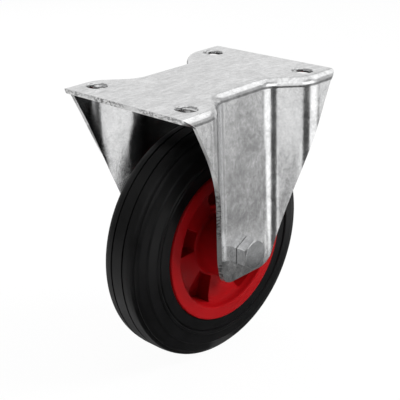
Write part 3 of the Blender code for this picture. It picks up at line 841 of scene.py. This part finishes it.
def red_plastic(n, rgb):
    """Moulded polypropylene: satin red with faint flow marks and a fine spark-eroded grain."""
    flow = n.noise(45, 4, 0.55, (1, 1, 1), 1.4)
    grain = n.noise(1800, 3, 0.6)
    fine = n.noise(420, 3)
    base = n.mix(n.ramp(flow, 0.3, 0.7), tint(rgb, 0.90), tint(rgb, 1.08))
    base = n.mix(n.ramp(fine, 0.66, 0.80, 0.0, 0.18), base, tint(rgb, 1.25))
    rough = n.ramp(flow, 0.3, 0.7, 0.36, 0.48)
    normal = n.bump(grain, 0.00004, 0.45)
    return n.finish(base, rough, normal, Specular_IOR_Level=0.06)


def moulded_plastic(n, rgb, rough):
    """Plain moulded plastic with a faint grain and clouding."""
    cloud = n.noise(160, 4)
    grain = n.noise(1600, 3)
    base = n.mix(n.ramp(cloud, 0.3, 0.7), tint(rgb, 0.88), tint(rgb, 1.1))
    return n.finish(base, n.ramp(cloud, 0.3, 0.7, rough - 0.05, rough + 0.08),
                    n.bump(grain, 0.00004, 0.4))


def finish(kind):
    """The named finish, made once and then shared."""
    existing = bpy.data.materials.get(kind)
    if existing:
        return existing
    c = bpy.context.scene.castor_finishes
    makers = {
        "zinc plated sheet": (zinc_sheet, c.zinc),
        "plated cut edge": (sheared_edge, c.cut_edge),
        "zinc plated bolt": (zinc_bolt, c.bolt_zinc, 420, 0.00006),
        # The bolt's zinc, darker for the head's face: painted shade, with rougher dints of its own.
        "head face painted shade": (zinc_bolt, c.head_face_painted_shade, 700, 0.00012),
        "ground steel": (ground_steel, c.bright_steel),
        "black rubber": (rubber, c.rubber),
        "red polypropylene": (red_plastic, c.red),
        "seal plastic": (moulded_plastic, c.seal, 0.48),
        "cage nylon": (moulded_plastic, c.cage, 0.42),
        "insert nylon": (moulded_plastic, c.insert, 0.38),
    }
    maker, *values = makers[kind]
    return maker(Nodes(kind), *values)


# Operators

class CASTOR_OT_fork(bpy.types.Operator):
    """Build the pressed fork: plate, wings and legs in one sheet"""
    bl_idname = "castor.fork"
    bl_label = "Fork"

    def execute(self, context):
        bm = fork_mesh(context.scene.castor_fork)
        finish_mesh("pressed_fork", bm, ["zinc plated sheet", "plated cut edge"], "fork",
                    "fork", 30)
        return {"FINISHED"}


class CASTOR_OT_tyre(bpy.types.Operator):
    """Build the rubber tyre with its grooves and raised rings"""
    bl_idname = "castor.tyre"
    bl_label = "Tyre"

    def execute(self, context):
        bm = tyre_mesh(context.scene.castor_wheel)
        finish_mesh("rubber_tyre", bm, ["black rubber"], "wheel", "tyre")
        return {"FINISHED"}


class CASTOR_OT_rim(bpy.types.Operator):
    """Build the moulded rim with its spokes and pockets"""
    bl_idname = "castor.rim"
    bl_label = "Rim"

    def execute(self, context):
        bm = rim_mesh(context.scene.castor_wheel, context.scene.castor_axle)
        finish_mesh("spoked_rim", bm, ["red polypropylene"], "wheel", "rim")
        return {"FINISHED"}


class CASTOR_OT_seals(bpy.types.Operator):
    """Build the two dust seals in the hub"""
    bl_idname = "castor.seals"
    bl_label = "Seals"

    def execute(self, context):
        for end, side in (("near", -1), ("far", 1)):
            bm = seal_mesh(context.scene.castor_axle, side)
            finish_mesh(f"dust_seal_{end}", bm, ["seal plastic"], "wheel",
                        f"seal_{end}")
        return {"FINISHED"}


class CASTOR_OT_bearing(bpy.types.Operator):
    """Give the cage and the rollers their finishes and build the spacer sleeve"""
    bl_idname = "castor.bearing"
    bl_label = "Bearing"

    def execute(self, context):
        axle = context.scene.castor_axle
        half = SLEEVE_HIGH.y
        bm = turned(both_sides([(axle.hole, half, 0.0004),
                                (axle.sleeve_radius, half, 0.0005)]), 96)
        finish_mesh("spacer_sleeve", bm, ["ground steel"], "fork", "sleeve")
        for name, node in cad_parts.items():
            if name == "cage" or name.startswith("roller_"):
                kind = "cage nylon" if name == "cage" else "ground steel"
                node.data.materials.clear()
                node.data.materials.append(finish(kind))
        return {"FINISHED"}


class CASTOR_OT_bolt(bpy.types.Operator):
    """Build the axle bolt with its head and thread"""
    bl_idname = "castor.bolt"
    bl_label = "Bolt"

    def execute(self, context):
        bm = bolt_mesh(context.scene.castor_axle)
        # The second finish paints shade on the head's face as a darker zinc.
        finish_mesh("axle_bolt", bm, ["zinc plated bolt", "head face painted shade"], "fork",
                    "bolt", BOLT_SHARP)
        return {"FINISHED"}


class CASTOR_OT_nut(bpy.types.Operator):
    """Build the washer, the locking nut and its nylon ring"""
    bl_idname = "castor.nut"
    bl_label = "Washer and nut"

    def execute(self, context):
        axle = context.scene.castor_axle
        zinc = ["zinc plated bolt"]
        finish_mesh("flat_washer", washer_mesh(axle), zinc, "fork", "washer")
        finish_mesh("locking_nut", nut_mesh(axle), zinc, "fork", "nut", BOLT_SHARP)
        low, high, out = INSERT_LOW.y, INSERT_HIGH.y, INSERT_HIGH.x
        bm = turned([(axle.hole, low, 0.0002), (out, low, 0.0002), (out, high, 0.0002),
                     (axle.hole, high, 0.0002)], 80)
        finish_mesh("nylon_ring", bm, ["insert nylon"], "fork", "nut_insert")
        return {"FINISHED"}


# Studio

FLOOR_RADIUS = 4.0
FLOOR_WHITE = 0.96      # share of plain white in what the camera sees of the floor
AMBIENT = 0.09
AIM = Vector((0.0, 0.0, -0.08))

# Name, place, side, power. The cards stand in for the lamps in reflections.
LAMPS = (
    ("top soft box", (0.05, -0.15, 1.10), 0.9, 9.0),
    ("key soft box", (0.82, -0.92, 0.62), 0.5, 23.0),
    ("back soft box", (0.35, 1.05, 0.50), 0.6, 9.0),
)

# Name, azimuths from +X and elevations in degrees, shade, and the distance where it isn't 3 m.
FAR_CARDS = (
    ("dark gap", (-114, -86), (-65, 14), 0.12),
    ("left front floor", (-178, -114), (-65, -12), 1.40),
    ("dark room", (-180, -114), (-14, 9), 0.05),
    ("left lamp", (-180, -114), (9, 36), 1.10),
    ("dim room", (-86, -15), (-8, 12), 0.30),
    ("high wall", (-97, 30), (12, 62), 0.70),
    ("front card", (-86, -55), (-65, -8), 1.75),
    ("front step", (-55, -51), (-65, -8), 1.30),
    ("front fade", (-51, -47), (-65, -8), 1.05),
    ("grey floor", (-47, -5), (-65, -8), 0.75),
    ("right floor", (-5, 100), (-65, -8), 0.22),
    ("left wall", (100, 180), (-8, 40), 0.40),
    ("left floor", (100, 180), (-65, -8), 0.95),
    ("strip lamp", (-42, 24), (32, 57), 1.6, 2.6),
    ("front lamp", (-112, -64), (17, 40), 2.2, 2.6),
    ("overhead lamp", (-180, -112), (36, 60), 1.45, 2.6),
    ("ceiling", (-180, 180), (60, 89), 1.30, 2.7),
)

# Name, centre, azimuths, radii, shade, and height over the floor. BEND lies below the near
# leg's right bend, whose stripes come from the mats round it.
BEND = (0.014, -0.036)
NEAR_MATS = (
    ("flange far mat", BEND, (-39, -34.5), (0.48, 1.40), 1.9, 0.001),
    ("flange near mat", BEND, (-38, -34.5), (0.03, 0.48), 1.25, 0.001),
    ("right mat", BEND, (-34.5, -15), (0.03, 1.40), 0.50, 0.001),
    ("panel far mat", BEND, (-47, -38), (0.30, 0.70), 0.50, 0.001),
    ("panel mat", BEND, (-60, -38), (0.20, 0.31), 0.37, 0.001),
    ("flange mat", (-0.045, -0.055), (-49, -41), (0.05, 0.45), 0.34, 0.002),
    ("foot mat", (0.0, 0.0), (-175, 10), (0.02, 0.185), 0.15, 0.003),
    ("bolt mat", (-0.01, -0.045), (-155, -118), (0.10, 0.36), 0.50, 0.002),
)


def area_light(name, at, side, power):
    """A soft lamp for the diffuse light alone."""
    data = bpy.data.lights.new(name, "AREA")
    data.size = side
    data.energy = power
    light = add_object(name, data)
    light.location = at
    light.rotation_mode = "QUATERNION"
    light.rotation_quaternion = (AIM - Vector(at)).to_track_quat("-Z", "Y")
    light.visible_glossy = False


def staged(name, bm):
    """Make a piece of the studio, which isn't part of the castor, with a material of its own."""
    obj = add_mesh(name, bm)
    mat = bpy.data.materials.new(name)
    mat.use_nodes = True
    obj.data.materials.append(mat)
    return obj, mat.node_tree


def card(name, centre, azimuths, profile, shade):
    """A sheet that only reflections see: a profile of (radius, height) swept about a centre."""
    bm = bmesh.new()
    verts = [bm.verts.new((radius, 0.0, height)) for radius, height in profile]
    edges = [bm.edges.new(pair) for pair in zip(verts, verts[1:])]
    start, stop = (math.radians(azimuth) for azimuth in azimuths)
    bmesh.ops.rotate(bm, verts=verts, matrix=Matrix.Rotation(start, 3, "Z"))
    bmesh.ops.spin(bm, geom=verts + edges, cent=(0, 0, 0), axis=(0, 0, 1), angle=stop - start,
                   steps=24, use_merge=math.isclose(stop - start, FULL_TURN))
    bmesh.ops.translate(bm, verts=bm.verts, vec=(*centre, 0.0))
    sheet, tree = staged(name, bm)
    for ray in ("camera", "diffuse", "shadow", "transmission"):
        setattr(sheet, f"visible_{ray}", False)
    tree.nodes.remove(tree.nodes["Principled BSDF"])
    glow = tree.nodes.new("ShaderNodeEmission")
    glow.inputs["Strength"].default_value = shade
    tree.links.new(glow.outputs["Emission"], tree.nodes["Material Output"].inputs["Surface"])


def far_card(name, azimuths, elevations, shade, distance=3.0):
    """A card bent to a sphere round the castor, between two elevations in degrees."""
    low, high = elevations
    angles = [math.radians(low + (high - low) * i / 8) for i in range(9)]
    profile = [(distance * math.cos(a), distance * math.sin(a)) for a in angles]
    card(name, (0.0, 0.0), azimuths, profile, shade)


def near_mat(name, centre, azimuths, radii, shade, lift):
    """A card lying on the floor, a little above it so that mats can overlap."""
    height = TYRE_LOW.z + lift
    card(name, centre, azimuths, [(radius, height) for radius in radii], shade)


def white_when_seen(tree, surface, output, factor):
    """Mix a surface toward plain white for rays from the camera and for reflections."""
    path, glow, mix = (tree.nodes.new(f"ShaderNode{kind}")
                       for kind in ("LightPath", "Emission", "MixShader"))
    seen, scale = (tree.nodes.new("ShaderNodeMath") for _ in range(2))
    seen.operation, scale.operation = "MAXIMUM", "MULTIPLY"
    scale.inputs[1].default_value = factor
    for source, target in ((path.outputs["Is Camera Ray"], seen.inputs[0]),
                           (path.outputs["Is Glossy Ray"], seen.inputs[1]),
                           (seen.outputs["Value"], scale.inputs[0]),
                           (scale.outputs["Value"], mix.inputs["Fac"]), (surface, mix.inputs[1]),
                           (glow.outputs["Emission"], mix.inputs[2]),
                           (mix.outputs["Shader"], output.inputs["Surface"])):
        tree.links.new(source, target)


class CASTOR_OT_studio(bpy.types.Operator):
    """Lay the floor, set the lamps and cards and stand the camera where the photograph was taken"""
    bl_idname = "castor.studio"
    bl_label = "Studio"

    def execute(self, context):
        scene = context.scene
        p = scene.castor_studio
        scene.view_settings.view_transform = "Standard"

        bm = bmesh.new()
        bmesh.ops.create_circle(bm, cap_ends=True, segments=64, radius=FLOOR_RADIUS)
        bmesh.ops.translate(bm, verts=bm.verts, vec=(0, 0, TYRE_LOW.z - 0.0002))
        floor, tree = staged("floor", bm)
        floor.visible_glossy = False
        shader = tree.nodes["Principled BSDF"]
        shader.inputs["Base Color"].default_value = (*p.floor, 1.0)
        shader.inputs["Roughness"].default_value = 0.8
        shader.inputs["Specular IOR Level"].default_value = 0.1
        white_when_seen(tree, shader.outputs["BSDF"], tree.nodes["Material Output"],
                        FLOOR_WHITE)

        world = bpy.data.worlds.new("studio")
        world.use_nodes = True
        scene.world = world
        tree = world.node_tree
        back = tree.nodes["Background"]
        back.inputs["Color"].default_value = (1.0, 1.0, 1.0, 1.0)
        back.inputs["Strength"].default_value = AMBIENT
        white_when_seen(tree, back.outputs["Background"], tree.nodes["World Output"], 1.0)

        for maker, rows in ((area_light, LAMPS), (far_card, FAR_CARDS), (near_mat, NEAR_MATS)):
            for row in rows:
                maker(*row)

        data = bpy.data.cameras.new("camera")
        data.sensor_width = 36.0
        data.lens = p.lens
        data.clip_start, data.clip_end = 0.01, 50.0
        camera = add_object("camera", data)
        toward = Vector((-math.sin(p.azimuth) * math.cos(p.elevation),
                         math.cos(p.azimuth) * math.cos(p.elevation), -math.sin(p.elevation)))
        camera.rotation_mode = "QUATERNION"
        camera.rotation_quaternion = (toward.to_track_quat("-Z", "Y")
                                      @ Quaternion((0, 0, 1), p.roll))
        camera.location = p.camera_at
        scene.camera = camera
        return {"FINISHED"}


class CASTOR_PT_panel(bpy.types.Panel):
    """Lists the castor's pieces"""
    bl_idname = "CASTOR_PT_panel"
    bl_label = "Fixed castor"
    bl_space_type = "VIEW_3D"
    bl_region_type = "UI"
    bl_category = "Castor"

    def draw(self, context):
        for operator in OPERATORS:
            self.layout.operator(operator.bl_idname)


OPERATORS = (CASTOR_OT_studio, CASTOR_OT_fork, CASTOR_OT_tyre, CASTOR_OT_rim, CASTOR_OT_seals,
             CASTOR_OT_bearing, CASTOR_OT_bolt, CASTOR_OT_nut)
GROUPS = {"castor_fork": ForkSizes, "castor_wheel": WheelSizes, "castor_axle": AxleSizes,
          "castor_finishes": Finishes, "castor_studio": StudioSizes}


def register():
    for cls in (*GROUPS.values(), *OPERATORS, CASTOR_PT_panel):
        bpy.utils.register_class(cls)
    for name, group in GROUPS.items():
        setattr(bpy.types.Scene, name, PointerProperty(type=group))


def unregister():
    for name in GROUPS:
        delattr(bpy.types.Scene, name)
    for cls in (CASTOR_PT_panel, *reversed(OPERATORS), *reversed(tuple(GROUPS.values()))):
        bpy.utils.unregister_class(cls)


def main():
    register()
    bpy.ops.castor.studio()
    bpy.ops.castor.fork()
    bpy.ops.castor.tyre()
    bpy.ops.castor.rim()
    bpy.ops.castor.seals()
    bpy.ops.castor.bearing()
    bpy.ops.castor.bolt()
    bpy.ops.castor.nut()


if __name__ == "__main__":
    main()
